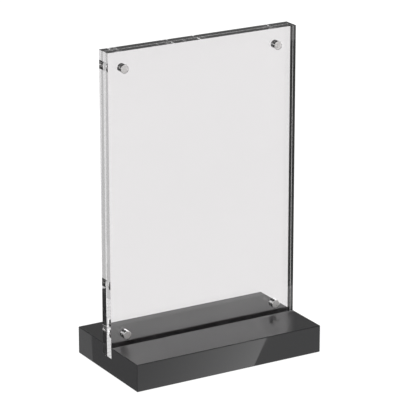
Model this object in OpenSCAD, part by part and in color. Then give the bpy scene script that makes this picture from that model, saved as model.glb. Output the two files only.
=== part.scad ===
// Upright photo stand: two clear panels held face to face by round magnets, standing in the slot
// of a solid black base. The rear panel is bonded into the slot, and the front panel lifts out.
// Frame: origin at the middle of the base's underside, X along the width, -Y the front, +Z up.

/* [Panels] */
// Width of both clear panels and of the base, whose ends they meet flush
panel_w = 148; // [90:1:320]
// Height of the panels that shows above the base
panel_show_h = 210; // [120:1:420]
// Thickness of each clear panel
panel_t = 6; // [5:0.5:12]
// Air gap between the panels, where the photo slips in
photo_gap = 0.2; // [0.2:0.05:1]
// Flat polished along every sharp edge of a panel
panel_arris = 0.1; // [0.1:0.1:0.8]

/* [Base] */
// Depth of the base, front to rear
base_d = 85; // [50:1:160]
// Height of the base
base_h = 20; // [15:1:40]
// Depth of the slot that the panels stand in
slot_depth = 8; // [4:0.5:12]
// Room between the loose front panel and the front wall of the slot
slot_clearance = 0.2; // [0.1:0.05:0.6]
// Flat along the outer edges of the base
base_arris = 0.5; // [0.1:0.1:2]
// Flat along the two upper edges of the slot
slot_arris = 0.3; // [0.1:0.1:1]

/* [Magnets] */
// Diameter of a magnet
magnet_d = 6; // [4:0.5:10]
// Length of a magnet
magnet_l = 4; // [2:0.25:4.5]
// Chamfer around each end of a magnet
magnet_chamfer = 0.3; // [0.1:0.05:0.6]
// Height of a magnet's face above the inner face of its panel
magnet_proud = 0.05; // [0:0.05:0.1]
// Clearance all round a magnet in its bore
magnet_clearance = 0.05; // [0.02:0.01:0.2]
// Distance of the magnet centres from the side edges of the panels
magnet_side_inset = 13.5; // [8:0.5:30]
// Distance of the upper magnet centres from the top edges of the panels
magnet_top_inset = 13; // [8:0.5:30]
// Height of the lower magnet centres above the top of the base
magnet_base_rise = 6.5; // [6:0.5:30]

/* [Hidden] */

LEFT = -1;
RIGHT = 1;
BOTTOM = -1;
TOP = 1;

$fn = 96;
cut_over = 1;

slot_w = 2 * panel_t + photo_gap + slot_clearance;
slot_floor = base_h - slot_depth;
panel_h = panel_show_h + slot_depth;
total_h = base_h + panel_show_h;
rear_inner_y = slot_w / 2 - panel_t;
front_inner_y = rear_inner_y - photo_gap;
bore_d = magnet_d + 2 * magnet_clearance;
bore_depth = magnet_l - magnet_proud;

function magnet_x(side) = side * (panel_w / 2 - magnet_side_inset);
function magnet_z(level) =
    level == TOP ? total_h - magnet_top_inset : base_h + magnet_base_rise;

// Rectangle with its corners cut off, centred
module cut_rectangle(w, h, cut) {
    polygon([
        [-w / 2 + cut, -h / 2], [w / 2 - cut, -h / 2],
        [w / 2, -h / 2 + cut], [w / 2, h / 2 - cut],
        [w / 2 - cut, h / 2], [-w / 2 + cut, h / 2],
        [-w / 2, h / 2 - cut], [-w / 2, -h / 2 + cut]
    ]);
}

// Block with a flat along each of its twelve edges, centred on X and Y and standing on Z = 0
module arrised_block(w, d, h, arris) {
    intersection() {
        linear_extrude(height = h) cut_rectangle(w, d, arris);
        translate([0, 0, h / 2]) rotate([90, 0, 90])
            linear_extrude(height = w, center = true) cut_rectangle(d, h, arris);
        translate([0, 0, h / 2]) rotate([90, 0, 0])
            linear_extrude(height = d, center = true) cut_rectangle(w, h, arris);
    }
}

// The slot as a cutter, open at both ends, with its upper edges flared by their flats
module slot_cutter() {
    rotate([90, 0, 90])
        linear_extrude(height = panel_w + 2 * cut_over, center = true)
            polygon([
                [-slot_w / 2, slot_floor], [slot_w / 2, slot_floor],
                [slot_w / 2, base_h - slot_arris],
                [slot_w / 2 + slot_arris + cut_over, base_h + cut_over],
                [-slot_w / 2 - slot_arris - cut_over, base_h + cut_over],
                [-slot_w / 2, base_h - slot_arris]
            ]);
}

module base() {
    color([0.07, 0.07, 0.075])
        difference() {
            arrised_block(panel_w, base_d, base_h, base_arris);
            slot_cutter();
        }
}

// A clear panel with its bored inner face on Y = 0 and its thickness towards +Y
module bored_panel() {
    difference() {
        translate([0, panel_t / 2, slot_floor])
            arrised_block(panel_w, panel_t, panel_h, panel_arris);
        for (side = [LEFT, RIGHT], level = [BOTTOM, TOP])
            translate([magnet_x(side), -cut_over, magnet_z(level)]) rotate([-90, 0, 0])
                cylinder(d = bore_d, h = bore_depth + cut_over);
    }
}

// A round magnet that lies along Y, in its bore of a panel whose inner face is on Y = 0
module seated_magnet(side, level) {
    r = magnet_d / 2;
    translate([magnet_x(side), -magnet_proud, magnet_z(level)]) rotate([-90, 0, 0])
        rotate_extrude()
            polygon([
                [0, 0], [r - magnet_chamfer, 0], [r, magnet_chamfer],
                [r, magnet_l - magnet_chamfer], [r - magnet_chamfer, magnet_l], [0, magnet_l]
            ]);
}

// Puts a piece of the rear panel in its place
module in_rear() {
    translate([0, rear_inner_y, 0]) children();
}

// Turns a piece of the rear panel into its partner in the front panel
module in_front() {
    translate([0, front_inner_y, 0]) mirror([0, 1, 0]) children();
}

module rear_panel() {
    color([0.92, 0.94, 0.94, 0.3]) in_rear() bored_panel();
}

module front_panel() {
    color([0.92, 0.94, 0.94, 0.3]) in_front() bored_panel();
}

module rear_magnet(side, level) {
    color([0.74, 0.73, 0.71]) in_rear() seated_magnet(side, level);
}

module front_magnet(side, level) {
    color([0.74, 0.73, 0.71]) in_front() seated_magnet(side, level);
}

base();
rear_panel();
front_panel();
rear_magnet(LEFT, TOP);  // rear_magnet_top_left
rear_magnet(RIGHT, TOP);  // rear_magnet_top_right
rear_magnet(LEFT, BOTTOM);  // rear_magnet_bottom_left
rear_magnet(RIGHT, BOTTOM);  // rear_magnet_bottom_right
front_magnet(LEFT, TOP);  // front_magnet_top_left
front_magnet(RIGHT, TOP);  // front_magnet_top_right
front_magnet(LEFT, BOTTOM);  // front_magnet_bottom_left
front_magnet(RIGHT, BOTTOM);  // front_magnet_bottom_right
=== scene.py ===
"""Magnetic photo stand: two clear acrylic panels held by nickel magnets in a gloss black base."""
import math

import bpy
from mathutils import Matrix, Vector


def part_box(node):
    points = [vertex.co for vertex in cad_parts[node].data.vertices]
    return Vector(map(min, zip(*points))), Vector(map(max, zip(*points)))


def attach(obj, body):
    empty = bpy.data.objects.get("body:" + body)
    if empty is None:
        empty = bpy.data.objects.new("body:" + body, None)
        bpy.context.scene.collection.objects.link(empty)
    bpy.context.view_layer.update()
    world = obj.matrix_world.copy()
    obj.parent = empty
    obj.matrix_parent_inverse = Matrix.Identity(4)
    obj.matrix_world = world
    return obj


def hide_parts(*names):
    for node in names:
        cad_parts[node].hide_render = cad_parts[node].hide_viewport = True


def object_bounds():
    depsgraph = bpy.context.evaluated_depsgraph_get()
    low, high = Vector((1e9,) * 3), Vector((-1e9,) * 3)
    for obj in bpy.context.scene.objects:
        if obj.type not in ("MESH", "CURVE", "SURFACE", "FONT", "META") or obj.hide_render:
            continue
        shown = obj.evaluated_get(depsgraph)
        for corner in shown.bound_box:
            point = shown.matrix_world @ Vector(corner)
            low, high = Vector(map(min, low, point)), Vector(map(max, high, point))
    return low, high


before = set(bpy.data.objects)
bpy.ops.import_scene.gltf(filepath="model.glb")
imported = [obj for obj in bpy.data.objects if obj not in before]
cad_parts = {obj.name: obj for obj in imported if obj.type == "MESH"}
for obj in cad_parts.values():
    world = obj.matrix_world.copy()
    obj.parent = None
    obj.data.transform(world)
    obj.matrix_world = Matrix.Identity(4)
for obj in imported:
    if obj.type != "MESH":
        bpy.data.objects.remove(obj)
CAD_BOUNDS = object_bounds()

MM = 0.001
LOW, HIGH = CAD_BOUNDS
CENTRE = (LOW + HIGH) / 2

# Camera: turned to the left of the front and looking down a little, through a long lens
CAMERA_TURN = math.radians(30.5)
CAMERA_DROP = math.radians(18.4)
CAMERA_DISTANCE = 1.8
CAMERA_LENS = 228.0
CAMERA_SENSOR = 36.0
CAMERA_REACH = 20.0
AIM_OFFSET = Vector((2.6, -3.3, -4.7)) * MM

# What reflections see of the studio: floor to the left and right, walls, ceiling and key light.
# A name with CLEAR in it, the backdrop and the key are seen only through the clear pieces.
FLOOR_TURN = (-0.35, 0.3)
FLOOR_LEFT = 0.2
FLOOR_LEFT_CLEAR = 0.015
FLOOR_RIGHT_FRONT = 0.66
FLOOR_FRONT_CLEAR = 1.2
FLOOR_RIGHT_REAR = 0.95
ROOM_FRONT = 0.08
ROOM_REAR = 0.3
ROOM_TOP = 0.08
BACKDROP = 1.5
KEY_GLOW = 3.5
# Light that has turned more often than this inside the panels has come from all round
MANY_TURNS = (4.0, 8.0)
GUIDED_GLOW = 0.95
# Where one part of the room gives way to the next, by the direction's share along each axis
BACKDROP_TURN = (0.28, 0.42)
FLOOR_REAR_TURN = (-0.4, 0.4)
WALL_TURN = (-0.2, 0.5)
CEILING_TURN = (0.38, 0.52)
HORIZON = (-0.12, 0.02)
# How often light may turn before it is given up
LIGHT_TURNS = 48

# Stage: the floor, the two cards that the base mirrors and the two dark flags
FLOOR_SIZE = 6.0
FLOOR_GAP = 0.02 * MM
FLOOR_PAINT = (0.15, 0.15, 0.15, 1)
FLOOR_GLOW = 0.95
CARD_SIZE = 0.5
CARD_LIFT = 0.01 * MM
# Each card's bright edge starts at this place along the base's foot and runs this way, and its
# glow fades out over this many metres
FRONT_CARD_X = 18.9 * MM
FRONT_CARD_ALONG = Vector((-45.4, 51.8, 0))
FRONT_CARD_GLOW = 1.9
FRONT_CARD_FADE = 0.1
LEFT_CARD_Y = 21.3 * MM
LEFT_CARD_ALONG = Vector((30.5, -59.9, 0))
LEFT_CARD_GLOW = 0.3
LEFT_CARD_FADE = 2.0
FLAG_GAP = 20 * MM
FLAG_WIDTH = 2 * (HIGH.x - LOW.x)
FLAG_HEIGHT = 100 * MM
REAR_FLAG_DROP = 30 * MM
FRONT_FLAG_RISE = 5 * MM

# Machined edges
PANEL_ARRIS = 0.06 * MM
BASE_ARRIS = 0.45 * MM
MAGNET_ROUND = 0.35 * MM
# A magnet's flat land and the slope of its shallow dish, as shares of its radius
MAGNET_LAND = 0.15
MAGNET_DISH = 0.35
MAGNET_DISH_DEPTH = 0.01 * MM
# Air all round a magnet in its bore
BORE_CLEARANCE = 0.05 * MM
# The bond leaves no air between the rear panel and the slot, so that panel reaches into the base
# by this, and the front panel, which only rests on the slot's floor, stands clear of it by as much
BOND_REACH = 0.02 * MM

# Meshes: how finely round things are divided, and which edges are shaded soft
ROUND_SIDES = 96
ROUND_STEPS = 4
SMOOTH_ANGLE = math.radians(35)
FLAT_WEIGHT = 100
# Faces that turn by less than this from one to the next are made one
FLAT_ANGLE = math.radians(1)
QUARTER_TURN = math.radians(90)
# Measures closer than this are the same, and points closer than this are merged, in metres
TOUCH = 1e-6
MERGE = 1e-7

# Finishes: colours, and roughness from the clearest to the haziest spot
ACRYLIC_IOR = 1.49
POLISHED_BLACK = (0.028, 0.028, 0.029, 1)
# The slot's black is lighter than the polished black, partly for its cut finish and partly as
# painted light that brightens the slot.
MILLED_BLACK_AND_PAINTED_LIGHT = (0.1, 0.099, 0.1, 1)
CLEAR_TINTS = ((0.878, 0.87, 0.873, 1), (0.894, 0.886, 0.889, 1))
NICKEL = (0.74, 0.73, 0.715, 1)
NICKEL_METALLIC = 0.6
TOP_ROUGHNESS = (0.28, 0.31)
SIDE_ROUGHNESS = (0.05, 0.09)
MILLED_ROUGHNESS = 0.5
CUT_EDGE_ROUGHNESS = (0.01, 0.03)
NICKEL_ROUGHNESS = (0.25, 0.4)
ACRYLIC_BUMP = 0.03
NICKEL_BUMP = 0.2
BUMP_DISTANCE = 0.01 * MM
# How fine the patterns are, in repeats a metre
TINT_SCALE = 12.0
ACRYLIC_HAZE = 40.0
ACRYLIC_RUB = 700.0
NICKEL_HAZE = 500.0
NICKEL_RUB = 4000.0
HAZE_DETAIL = 3.0
HAZE_RANGE = (0.3, 0.7)
RUB_DETAIL = 2.0
RUB_TURN = (0.3, 0.2, 0.5)
RUB_STRETCH = (0.08, 1.0, 1.0)
# How squarely a face must look up, or to the front or rear, to take that side's finish
TOP_TURN = (0.6, 0.95)
FACE_TURN = (0.3, 0.9)
END_SHARE = 0.5
# How far the cutter's finish, and the slot's lighter colour that is partly that finish and partly
# painted light, run past the slot's wall, in arrises, and below its floor
MILLED_SPREAD = 1.2
MILLED_BELOW = 0.1 * MM

MAGNET_PLACES = ["top_left", "top_right", "bottom_left", "bottom_right"]


# ---------------------------------------------------------------- modelling helpers

def deselect_all():
    bpy.ops.object.select_all(action="DESELECT")


def name_new(name):
    """Names the object that an operator has just added, and its mesh."""
    piece = bpy.context.object
    piece.name = name
    piece.data.name = name
    return piece


def select_only(piece):
    """Leaves edit mode, then selects one piece and makes it the active one."""
    if bpy.context.mode != "OBJECT":
        bpy.ops.object.mode_set(mode="OBJECT")
    deselect_all()
    piece.select_set(True)
    bpy.context.view_layer.objects.active = piece


def add_block(name, low, high):
    """A block between two corners, with its place in its mesh."""
    deselect_all()
    bpy.ops.mesh.primitive_cube_add(size=1, location=(low + high) / 2, scale=high - low)
    piece = name_new(name)
    settle(piece)
    return piece


def settle(piece):
    """Moves a piece's place, turn and size from its object into its mesh."""
    select_only(piece)
    bpy.ops.object.transform_apply(location=True, rotation=True, scale=True)


def choose_edges(piece, wanted):
    """Selects the edges whose two end points satisfy wanted(a, b), in edit mode's edge select."""
    select_only(piece)
    bpy.ops.object.mode_set(mode="EDIT")
    bpy.ops.mesh.select_mode(type="EDGE")
    bpy.ops.mesh.select_all(action="DESELECT")
    bpy.ops.object.mode_set(mode="OBJECT")
    points = piece.data.vertices
    for edge in piece.data.edges:
        edge.select = wanted(points[edge.vertices[0]].co, points[edge.vertices[1]].co)
    bpy.ops.object.mode_set(mode="EDIT")


def choose_faces(piece, wanted):
    """Selects the faces whose centre and normal satisfy wanted(centre, normal)."""
    select_only(piece)
    bpy.ops.object.mode_set(mode="EDIT")
    bpy.ops.mesh.select_mode(type="FACE")
    bpy.ops.mesh.select_all(action="DESELECT")
    bpy.ops.object.mode_set(mode="OBJECT")
    for face in piece.data.polygons:
        face.select = wanted(face.center, face.normal)
    bpy.ops.object.mode_set(mode="EDIT")


def close_edit():
    """Leaves edit mode with every face turned outwards."""
    bpy.ops.mesh.select_all(action="SELECT")
    bpy.ops.mesh.remove_doubles(threshold=MERGE)
    bpy.ops.mesh.normals_make_consistent(inside=False)
    bpy.ops.object.mode_set(mode="OBJECT")


def near(a, b):
    """True for two measures less than a thousandth of a millimetre apart."""
    return abs(a - b) < TOUCH


# ---------------------------------------------------------------- pieces

def model_base():
    """A solid block with a slot right through its top and a small flat along every sharp edge."""
    low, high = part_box("base")
    panel_low, panel_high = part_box("rear_panel")
    wall, floor = panel_high.y, panel_low.z
    base = add_block("black_base", low, high)
    bpy.ops.object.mode_set(mode="EDIT")
    for point, normal in (((0, wall, 0), (0, 1, 0)), ((0, -wall, 0), (0, 1, 0)),
                          ((0, 0, floor), (0, 0, 1))):
        bpy.ops.mesh.select_all(action="SELECT")
        bpy.ops.mesh.bisect(plane_co=point, plane_no=normal)
    bpy.ops.object.mode_set(mode="OBJECT")

    choose_faces(base, lambda centre, normal: abs(centre.y) < wall and centre.z > floor)
    bpy.ops.mesh.delete(type="FACE")

    def in_slot_end(a, b):
        """The three edges of a slot end: down one wall, across the floor and up the other."""
        down = near(abs(a.y), wall) and near(a.y, b.y) and min(a.z, b.z) > floor - TOUCH
        across = near(a.z, floor) and near(b.z, floor) and max(abs(a.y), abs(b.y)) < wall + TOUCH
        return near(a.x, b.x) and (down or across)

    choose_edges(base, in_slot_end)
    bpy.ops.mesh.bridge_edge_loops()
    close_edit()
    select_only(base)
    bpy.ops.object.mode_set(mode="EDIT")
    bpy.ops.mesh.select_all(action="SELECT")
    bpy.ops.mesh.dissolve_limited(angle_limit=FLAT_ANGLE)
    bpy.ops.object.mode_set(mode="OBJECT")

    def is_outer(a, b):
        """Every edge but those of the slot's walls, ends and floor; its long upper edges count."""
        at_wall = near(abs(a.y), wall) and near(a.y, b.y)
        if at_wall:
            return near(a.z, high.z) and near(b.z, high.z)
        return not (near(a.z, floor) and near(b.z, floor))

    choose_edges(base, is_outer)
    bpy.ops.mesh.bevel(offset=BASE_ARRIS, segments=1, affect="EDGES", clamp_overlap=True)
    close_edit()
    finish_piece(base, "stand", "base")
    return base


def add_bore_cutter(node, mouth_y):
    """A cylinder a little wider than a magnet, from the bottom of its bore out past the mouth."""
    low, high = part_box(node)
    centre = (low + high) / 2
    deepest = low.y if abs(low.y - mouth_y) > abs(high.y - mouth_y) else high.y
    outside = mouth_y + (mouth_y - deepest)
    deepest += math.copysign(BORE_CLEARANCE, deepest - mouth_y)
    deselect_all()
    bpy.ops.mesh.primitive_cylinder_add(
        vertices=ROUND_SIDES, radius=(high.x - low.x) / 2 + BORE_CLEARANCE,
        depth=abs(outside - deepest),
        location=(centre.x, (outside + deepest) / 2, centre.z), rotation=(QUARTER_TURN, 0, 0))
    cutter = name_new("bore_cutter")
    settle(cutter)
    return cutter


def model_panel(side, body, inner_y, reach):
    """A clear panel with an arris along each edge and four blind bores in its inner face."""
    node = f"{side}_panel"
    low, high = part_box(node)
    panel = add_block(f"clear_{node}", low + reach[0], high + reach[1])
    bpy.ops.object.mode_set(mode="EDIT")
    bpy.ops.mesh.select_all(action="SELECT")
    bpy.ops.mesh.bevel(offset=PANEL_ARRIS, segments=1, affect="EDGES", clamp_overlap=True)
    bpy.ops.object.mode_set(mode="OBJECT")
    for place in MAGNET_PLACES:
        cutter = add_bore_cutter(f"{side}_magnet_{place}", inner_y)
        select_only(panel)
        bore = panel.modifiers.new("bore", "BOOLEAN")
        bore.operation = "DIFFERENCE"
        bore.solver = "EXACT"
        bore.object = cutter
        bpy.ops.object.modifier_apply(modifier=bore.name)
        bpy.data.objects.remove(cutter)
    select_only(panel)
    bpy.ops.object.mode_set(mode="EDIT")
    close_edit()
    finish_piece(panel, body, node)
    return panel


def model_magnet():
    """One plated disc lying along Y about the origin: both rims rounded, both faces dished."""
    low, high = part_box("front_magnet_top_left")
    radius, length = (high.x - low.x) / 2, high.y - low.y
    deselect_all()
    bpy.ops.mesh.primitive_cylinder_add(
        vertices=ROUND_SIDES, radius=radius, depth=length, end_fill_type="NGON",
        rotation=(QUARTER_TURN, 0, 0))
    magnet = name_new("magnet")
    settle(magnet)
    choose_edges(magnet, lambda a, b: near(a.y, b.y))
    bpy.ops.mesh.bevel(offset=MAGNET_ROUND, segments=ROUND_STEPS, affect="EDGES", clamp_overlap=True)
    bpy.ops.object.mode_set(mode="OBJECT")
    choose_faces(magnet, lambda centre, normal: near(abs(centre.y), length / 2))
    bpy.ops.mesh.inset(thickness=MAGNET_LAND * radius)
    bpy.ops.mesh.inset(thickness=MAGNET_DISH * radius, depth=-MAGNET_DISH_DEPTH)
    close_edit()
    return magnet


def place_magnets(pattern, side, body):
    """A copy of the magnet, with its own mesh, in each of a panel's four bores."""
    made = []
    for place in MAGNET_PLACES:
        node = f"{side}_magnet_{place}"
        low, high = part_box(node)
        magnet = pattern.copy()
        magnet.data = pattern.data.copy()
        magnet.name = magnet.data.name = f"nickel_{node}"
        magnet.data.transform(Matrix.Translation((low + high) / 2))
        bpy.context.scene.collection.objects.link(magnet)
        finish_piece(magnet, body, node)
        made.append(magnet)
    return made


def finish_piece(piece, body, node):
    """Soft shading round the edges with the flat faces kept flat, then the piece's place."""
    select_only(piece)
    bpy.ops.object.shade_smooth_by_angle(angle=SMOOTH_ANGLE)
    weigh = piece.modifiers.new("flat_faces", "WEIGHTED_NORMAL")
    weigh.weight = FLAT_WEIGHT
    weigh.keep_sharp = True
    bpy.ops.object.modifier_apply(modifier=weigh.name)
    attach(piece, body)
    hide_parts(node)


# ---------------------------------------------------------------- material helpers

def new_material(name):
    material = bpy.data.materials.new(name)
    material.use_nodes = True
    nodes = material.node_tree.nodes
    return material, nodes, material.node_tree.links, nodes["Principled BSDF"]


def put_on(material, pieces):
    """Gives each piece one material and no other."""
    for piece in pieces:
        piece.data.materials.clear()
        piece.data.materials.append(material)


def put_in(links, socket, value):
    """Links a socket to another one, or sets it where the value is a number."""
    if isinstance(value, (int, float)):
        socket.default_value = value
    else:
        links.new(value, socket)


def add_math(nodes, links, operation, first, second, clamp=False):
    """One sum of two sockets or numbers."""
    node = nodes.new("ShaderNodeMath")
    node.operation = operation
    node.use_clamp = clamp
    put_in(links, node.inputs[0], first)
    put_in(links, node.inputs[1], second)
    return node.outputs["Value"]


def add_ramp(nodes, links, value, start, end, low, high):
    """Goes softly from low to high while the value goes from start to end."""
    node = nodes.new("ShaderNodeMapRange")
    node.interpolation_type = "SMOOTHSTEP"
    put_in(links, node.inputs["Value"], value)
    node.inputs["From Min"].default_value = start
    node.inputs["From Max"].default_value = end
    put_in(links, node.inputs["To Min"], low)
    put_in(links, node.inputs["To Max"], high)
    return node.outputs["Result"]


def add_facing(nodes, links, direction, axis):
    """How far a vector reaches along an axis; for a direction, 1 where it points that way."""
    node = nodes.new("ShaderNodeVectorMath")
    node.operation = "DOT_PRODUCT"
    links.new(direction, node.inputs[0])
    node.inputs[1].default_value = Vector(axis).normalized()
    return node.outputs["Value"]


def make_surface_wear():
    """Node group: faint haze and hairline rubs, from Object coordinates in metres."""
    group = bpy.data.node_groups.new("surface_wear", "ShaderNodeTree")
    inputs = (("Haze Scale", 60.0), ("Rub Scale", 900.0), ("Low", 0.1), ("High", 0.2))
    for name, value in inputs:
        socket = group.interface.new_socket(name, in_out="INPUT", socket_type="NodeSocketFloat")
        socket.default_value = value
    for name in ("Roughness", "Height"):
        group.interface.new_socket(name, in_out="OUTPUT", socket_type="NodeSocketFloat")
    nodes, links = group.nodes, group.links
    entry, leave = nodes.new("NodeGroupInput"), nodes.new("NodeGroupOutput")
    place = nodes.new("ShaderNodeTexCoord")
    haze = nodes.new("ShaderNodeTexNoise")
    haze.inputs["Detail"].default_value = HAZE_DETAIL
    rub = nodes.new("ShaderNodeTexNoise")
    rub.inputs["Detail"].default_value = RUB_DETAIL
    stretch = nodes.new("ShaderNodeMapping")
    stretch.inputs["Rotation"].default_value = RUB_TURN
    stretch.inputs["Scale"].default_value = RUB_STRETCH
    links.new(place.outputs["Object"], haze.inputs["Vector"])
    links.new(place.outputs["Object"], stretch.inputs["Vector"])
    links.new(stretch.outputs["Vector"], rub.inputs["Vector"])
    links.new(entry.outputs["Haze Scale"], haze.inputs["Scale"])
    links.new(entry.outputs["Rub Scale"], rub.inputs["Scale"])
    spread = nodes.new("ShaderNodeMapRange")
    links.new(haze.outputs["Fac"], spread.inputs["Value"])
    spread.inputs["From Min"].default_value = HAZE_RANGE[0]
    spread.inputs["From Max"].default_value = HAZE_RANGE[1]
    links.new(entry.outputs["Low"], spread.inputs["To Min"])
    links.new(entry.outputs["High"], spread.inputs["To Max"])
    links.new(spread.outputs["Result"], leave.inputs["Roughness"])
    links.new(rub.outputs["Fac"], leave.inputs["Height"])
    return group


def add_wear(nodes, group, low, high, haze_scale, rub_scale):
    """Places the surface wear in a material with its own roughness range and pattern sizes."""
    wear = nodes.new("ShaderNodeGroup")
    wear.node_tree = group
    wear.inputs["Haze Scale"].default_value = haze_scale
    wear.inputs["Rub Scale"].default_value = rub_scale
    wear.inputs["Low"].default_value = low
    wear.inputs["High"].default_value = high
    return wear


def add_bump(nodes, links, height, shader, strength):
    """Raises a shader's surface by a height pattern, by a hundredth of a millimetre at most."""
    bump = nodes.new("ShaderNodeBump")
    bump.inputs["Strength"].default_value = strength
    bump.inputs["Distance"].default_value = BUMP_DISTANCE
    links.new(height, bump.inputs["Height"])
    links.new(bump.outputs["Normal"], shader.inputs["Normal"])


# ---------------------------------------------------------------- materials

def find_slot(nodes, links, place):
    """1 on the slot's walls, floor and arrises, rough from the cutter and lighter partly for that
    finish and partly as painted light; 0 on the polished outside.
    """
    panel_low, panel_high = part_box("rear_panel")
    outwards = add_facing(nodes, links, place.outputs["Object"], (0, 1, 0))
    across = add_math(nodes, links, "ABSOLUTE", outwards, 0.0)
    inside = add_math(nodes, links, "LESS_THAN", across, panel_high.y + MILLED_SPREAD * BASE_ARRIS)
    height = add_facing(nodes, links, place.outputs["Object"], (0, 0, 1))
    above = add_math(nodes, links, "GREATER_THAN", height, panel_low.z - MILLED_BELOW)
    sideways = add_facing(nodes, links, place.outputs["Normal"], (1, 0, 0))
    at_end = add_math(nodes, links, "ABSOLUTE", sideways, 0.0)
    along = add_math(nodes, links, "LESS_THAN", at_end, END_SHARE)
    both = add_math(nodes, links, "MULTIPLY", inside, above)
    return add_math(nodes, links, "MULTIPLY", both, along)


def gloss_black_acrylic(wear_group):
    """Black right through: polished sides, a softer top, and a slot as the cutter leaves it, its
    lighter colour partly that finish and partly painted light.
    """
    material, nodes, links, shader = new_material("gloss_black_acrylic")
    shader.inputs["IOR"].default_value = ACRYLIC_IOR
    place = nodes.new("ShaderNodeTexCoord")
    slot_milled_and_painted_light = find_slot(nodes, links, place)
    # The slot's lighter black is partly its cut finish and partly painted light.
    colour = nodes.new("ShaderNodeMix")
    colour.data_type = "RGBA"
    colour.inputs["A"].default_value = POLISHED_BLACK
    colour.inputs["B"].default_value = MILLED_BLACK_AND_PAINTED_LIGHT
    links.new(slot_milled_and_painted_light, colour.inputs["Factor"])
    links.new(colour.outputs["Result"], shader.inputs["Base Color"])
    upward = add_facing(nodes, links, place.outputs["Normal"], (0, 0, 1))
    top = add_wear(nodes, wear_group, *TOP_ROUGHNESS, ACRYLIC_HAZE, ACRYLIC_RUB)
    sides = add_wear(nodes, wear_group, *SIDE_ROUGHNESS, ACRYLIC_HAZE, ACRYLIC_RUB)
    gloss = add_ramp(nodes, links, upward, *TOP_TURN, sides.outputs["Roughness"],
                     top.outputs["Roughness"])
    dulled = add_ramp(nodes, links, slot_milled_and_painted_light, 0.0, 1.0, gloss, MILLED_ROUGHNESS)
    links.new(dulled, shader.inputs["Roughness"])
    add_bump(nodes, links, top.outputs["Height"], shader, ACRYLIC_BUMP)
    return material


def clear_acrylic(wear_group):
    """Clear as cast on the two large faces; the cut and polished edges keep a trace of haze."""
    material, nodes, links, shader = new_material("clear_acrylic")
    shader.inputs["IOR"].default_value = ACRYLIC_IOR
    shader.inputs["Transmission Weight"].default_value = 1.0
    place = nodes.new("ShaderNodeTexCoord")
    tint = nodes.new("ShaderNodeTexNoise")
    tint.inputs["Scale"].default_value = TINT_SCALE
    links.new(place.outputs["Object"], tint.inputs["Vector"])
    shade = nodes.new("ShaderNodeMix")
    shade.data_type = "RGBA"
    shade.inputs["A"].default_value = CLEAR_TINTS[0]
    shade.inputs["B"].default_value = CLEAR_TINTS[1]
    links.new(tint.outputs["Fac"], shade.inputs["Factor"])
    links.new(shade.outputs["Result"], shader.inputs["Base Color"])
    across = add_facing(nodes, links, place.outputs["Normal"], (0, 1, 0))
    face = add_math(nodes, links, "ABSOLUTE", across, 0.0)
    wear = add_wear(nodes, wear_group, *CUT_EDGE_ROUGHNESS, ACRYLIC_HAZE, ACRYLIC_RUB)
    haze = add_ramp(nodes, links, face, *FACE_TURN, wear.outputs["Roughness"], 0.0)
    links.new(haze, shader.inputs["Roughness"])
    return material


def nickel_plate(wear_group):
    """Satin plate with a fine tooth, part of its light scattered."""
    material, nodes, links, shader = new_material("nickel_plate")
    shader.inputs["Base Color"].default_value = NICKEL
    shader.inputs["Metallic"].default_value = NICKEL_METALLIC
    wear = add_wear(nodes, wear_group, *NICKEL_ROUGHNESS, NICKEL_HAZE, NICKEL_RUB)
    links.new(wear.outputs["Roughness"], shader.inputs["Roughness"])
    add_bump(nodes, links, wear.outputs["Height"], shader, NICKEL_BUMP)
    return material


# ---------------------------------------------------------------- stage

def set_camera():
    """A long lens looking down a little on the front's left, at just off the stand's middle."""
    data = bpy.data.cameras.new("camera")
    data.lens = CAMERA_LENS
    data.sensor_width = CAMERA_SENSOR
    camera = bpy.data.objects.new("camera", data)
    bpy.context.scene.collection.objects.link(camera)
    forward = Vector((math.sin(CAMERA_TURN) * math.cos(CAMERA_DROP),
                      math.cos(CAMERA_TURN) * math.cos(CAMERA_DROP),
                      -math.sin(CAMERA_DROP)))
    camera.location = CENTRE + AIM_OFFSET - forward * CAMERA_DISTANCE
    camera.rotation_euler = (QUARTER_TURN - CAMERA_DROP, 0, -CAMERA_TURN)
    data.clip_end = CAMERA_REACH
    bpy.context.scene.camera = camera


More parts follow.
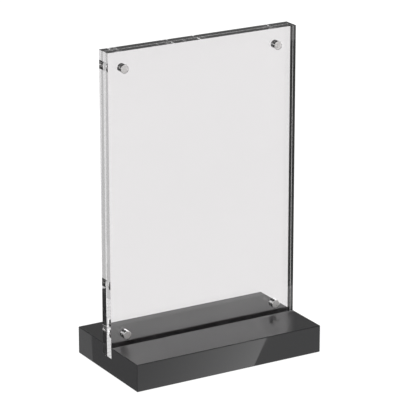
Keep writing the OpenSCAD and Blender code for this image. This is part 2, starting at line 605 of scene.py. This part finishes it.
def set_world():
    """White all round as seen straight or through clear plastic; reflections see the studio room."""
    world = bpy.data.worlds.new("studio")
    bpy.context.scene.world = world
    world.use_nodes = True
    world.cycles.sampling_method = "NONE"
    nodes, links = world.node_tree.nodes, world.node_tree.links
    direction = nodes.new("ShaderNodeTexCoord").outputs["Generated"]
    sideways = add_facing(nodes, links, direction, (1, 0, 0))
    rearward = add_facing(nodes, links, direction, (0, 1, 0))
    upward = add_facing(nodes, links, direction, (0, 0, 1))
    path = nodes.new("ShaderNodeLightPath")
    clear = add_math(nodes, links, "GREATER_THAN", path.outputs["Transmission Depth"], 0.5)
    bounced = add_math(nodes, links, "GREATER_THAN", path.outputs["Glossy Depth"], 0.5)
    scattered = add_math(nodes, links, "GREATER_THAN", path.outputs["Diffuse Depth"], 0.5)
    reflected = add_math(nodes, links, "SUBTRACT", bounced, scattered, clamp=True)
    floor_left = add_ramp(nodes, links, clear, 0.0, 1.0, FLOOR_LEFT, FLOOR_LEFT_CLEAR)
    floor_rear = add_ramp(nodes, links, sideways, *FLOOR_TURN, floor_left, FLOOR_RIGHT_REAR)
    few_turns = add_ramp(nodes, links, path.outputs["Glossy Depth"], *MANY_TURNS, clear, 0.0)
    front_glow = add_ramp(nodes, links, few_turns, 0.0, 1.0, FLOOR_RIGHT_FRONT, FLOOR_FRONT_CLEAR)
    floor_front = add_ramp(nodes, links, sideways, *FLOOR_TURN, floor_left, front_glow)
    floor = add_ramp(nodes, links, rearward, *FLOOR_REAR_TURN, floor_front, floor_rear)
    mirrored = add_math(nodes, links, "MULTIPLY", clear, path.outputs["Is Glossy Ray"])
    key = add_ramp(nodes, links, mirrored, 0.0, 1.0, ROOM_FRONT, KEY_GLOW)
    guided = add_ramp(nodes, links, path.outputs["Glossy Depth"], *MANY_TURNS, key, GUIDED_GLOW)
    right = add_ramp(nodes, links, sideways, *BACKDROP_TURN, 0.0, 1.0)
    backdrop_seen = add_math(nodes, links, "MULTIPLY", clear, right)
    rear = add_ramp(nodes, links, backdrop_seen, 0.0, 1.0, ROOM_REAR, BACKDROP)
    walls = add_ramp(nodes, links, rearward, *WALL_TURN, guided, rear)
    room = add_ramp(nodes, links, upward, *CEILING_TURN, walls, ROOM_TOP)
    studio = add_ramp(nodes, links, upward, *HORIZON, floor, room)
    strength = add_ramp(nodes, links, reflected, 0.0, 1.0, 1.0, studio)
    surround = nodes["Background"]
    surround.inputs["Color"].default_value = (1, 1, 1, 1)
    links.new(strength, surround.inputs["Strength"])


def set_floor():
    """A pale floor, lit evenly enough to leave no edge against the white backdrop."""
    deselect_all()
    bpy.ops.mesh.primitive_plane_add(size=FLOOR_SIZE, location=(0, 0, LOW.z - FLOOR_GAP))
    floor = name_new("floor")
    floor.visible_glossy = False
    floor.visible_transmission = False
    material = bpy.data.materials.new("pale_floor")
    material.use_nodes = True
    nodes, links = material.node_tree.nodes, material.node_tree.links
    nodes.remove(nodes["Principled BSDF"])
    paint = nodes.new("ShaderNodeBsdfDiffuse")
    paint.inputs["Color"].default_value = FLOOR_PAINT
    glow = nodes.new("ShaderNodeEmission")
    glow.inputs["Strength"].default_value = FLOOR_GLOW
    both = nodes.new("ShaderNodeAddShader")
    links.new(glow.outputs["Emission"], both.inputs[0])
    links.new(paint.outputs["BSDF"], both.inputs[1])
    links.new(both.outputs["Shader"], nodes["Material Output"].inputs["Surface"])
    put_on(material, [floor])


def set_card(name, edge, along, outward, glow, fade):
    """A lit card lying on the floor for the base alone to mirror, brightest along its one edge."""
    deselect_all()
    bpy.ops.mesh.primitive_plane_add(size=CARD_SIZE, location=(edge.x, edge.y, LOW.z + CARD_LIFT))
    card = name_new(name)
    settle(card)
    inward = Vector((0, 0, 1)).cross(along).normalized()
    bpy.ops.object.mode_set(mode="EDIT")
    bpy.ops.mesh.select_all(action="SELECT")
    bpy.ops.mesh.bisect(plane_co=edge, plane_no=inward, clear_inner=True)
    bpy.ops.mesh.select_all(action="SELECT")
    bpy.ops.mesh.bisect(plane_co=edge, plane_no=outward, clear_inner=True)
    bpy.ops.object.mode_set(mode="OBJECT")
    for kind in ("camera", "diffuse", "transmission", "shadow"):
        setattr(card, "visible_" + kind, False)
    only_base = bpy.data.collections.new(name + "_sees")
    only_base.objects.link(black_base)
    card.light_linking.receiver_collection = only_base
    material = bpy.data.materials.new(name)
    material.use_nodes = True
    material.cycles.emission_sampling = "NONE"
    nodes, links = material.node_tree.nodes, material.node_tree.links
    nodes.remove(nodes["Principled BSDF"])
    place = nodes.new("ShaderNodeTexCoord").outputs["Object"]
    depth = add_facing(nodes, links, place, inward)
    start = edge.dot(inward)
    lamp = nodes.new("ShaderNodeEmission")
    away = add_math(nodes, links, "SUBTRACT", depth, start)
    fall = add_math(nodes, links, "DIVIDE", away, fade)
    rest = add_math(nodes, links, "SUBTRACT", 1.0, fall, clamp=True)
    squared = add_math(nodes, links, "MULTIPLY", rest, rest)
    links.new(add_math(nodes, links, "MULTIPLY", squared, glow), lamp.inputs["Strength"])
    both = nodes.new("ShaderNodeAddShader")
    links.new(lamp.outputs["Emission"], both.inputs[0])
    links.new(nodes.new("ShaderNodeBsdfTransparent").outputs["BSDF"], both.inputs[1])
    links.new(both.outputs["Shader"], nodes["Material Output"].inputs["Surface"])
    put_on(material, [card])


def set_flag(name, place_y, low_z, turns):
    """A dark upright flag, seen only through clear pieces, by light turned more often than turns."""
    middle = Vector((0, place_y, low_z + FLAG_HEIGHT / 2))
    deselect_all()
    bpy.ops.mesh.primitive_plane_add(size=1.0, location=middle, rotation=(QUARTER_TURN, 0, 0))
    flag = name_new(name)
    flag.scale = (FLAG_WIDTH, FLAG_HEIGHT, 1)
    settle(flag)
    for kind in ("camera", "diffuse", "glossy", "shadow"):
        setattr(flag, "visible_" + kind, False)
    material = bpy.data.materials.new(name)
    material.use_nodes = True
    material.cycles.emission_sampling = "NONE"
    nodes, links = material.node_tree.nodes, material.node_tree.links
    nodes.remove(nodes["Principled BSDF"])
    path = nodes.new("ShaderNodeLightPath")
    turned = add_math(nodes, links, "GREATER_THAN", path.outputs["Glossy Depth"], turns + 0.5)
    cloth = nodes.new("ShaderNodeEmission")
    cloth.inputs["Strength"].default_value = ROOM_TOP
    either = nodes.new("ShaderNodeMixShader")
    links.new(turned, either.inputs["Fac"])
    links.new(nodes.new("ShaderNodeBsdfTransparent").outputs["BSDF"], either.inputs[1])
    links.new(cloth.outputs["Emission"], either.inputs[2])
    links.new(either.outputs["Shader"], nodes["Material Output"].inputs["Surface"])
    put_on(material, [flag])


def set_light_paths():
    """Light turns many times between a panel's faces before it leaves, and every turn counts."""
    cycles = bpy.context.scene.cycles
    cycles.max_bounces = LIGHT_TURNS
    cycles.glossy_bounces = LIGHT_TURNS
    cycles.transmission_bounces = LIGHT_TURNS
    bpy.context.scene.view_settings.view_transform = "Standard"


# ---------------------------------------------------------------- build

set_camera()
set_world()
set_floor()
set_flag("rear_flag", HIGH.y + FLAG_GAP, HIGH.z - REAR_FLAG_DROP, 0)
set_flag("front_flag", LOW.y - FLAG_GAP, HIGH.z + FRONT_FLAG_RISE, 1)
set_light_paths()

rear_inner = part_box("rear_panel")[0].y
front_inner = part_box("front_panel")[1].y
no_reach = Vector((0, 0, 0))
bond_low = Vector((0, 0, -BOND_REACH))
bond_high = Vector((0, BOND_REACH, 0))
rest_lift = Vector((0, 0, BOND_REACH))

black_base = model_base()
rear_panel = model_panel("rear", "stand", rear_inner, (bond_low, bond_high))
front_panel = model_panel("front", "front_leaf", front_inner, (rest_lift, no_reach))
magnet_pattern = model_magnet()
magnets = place_magnets(magnet_pattern, "rear", "stand")
magnets += place_magnets(magnet_pattern, "front", "front_leaf")
bpy.data.objects.remove(magnet_pattern)

surface_wear = make_surface_wear()
put_on(gloss_black_acrylic(surface_wear), [black_base])
put_on(clear_acrylic(surface_wear), [rear_panel, front_panel])
put_on(nickel_plate(surface_wear), magnets)

set_card("front_card", Vector((FRONT_CARD_X, LOW.y, 0)), FRONT_CARD_ALONG, (0, -1, 0),
         FRONT_CARD_GLOW, FRONT_CARD_FADE)
set_card("left_card", Vector((LOW.x, LEFT_CARD_Y, 0)), LEFT_CARD_ALONG, (-1, 0, 0),
         LEFT_CARD_GLOW, LEFT_CARD_FADE)
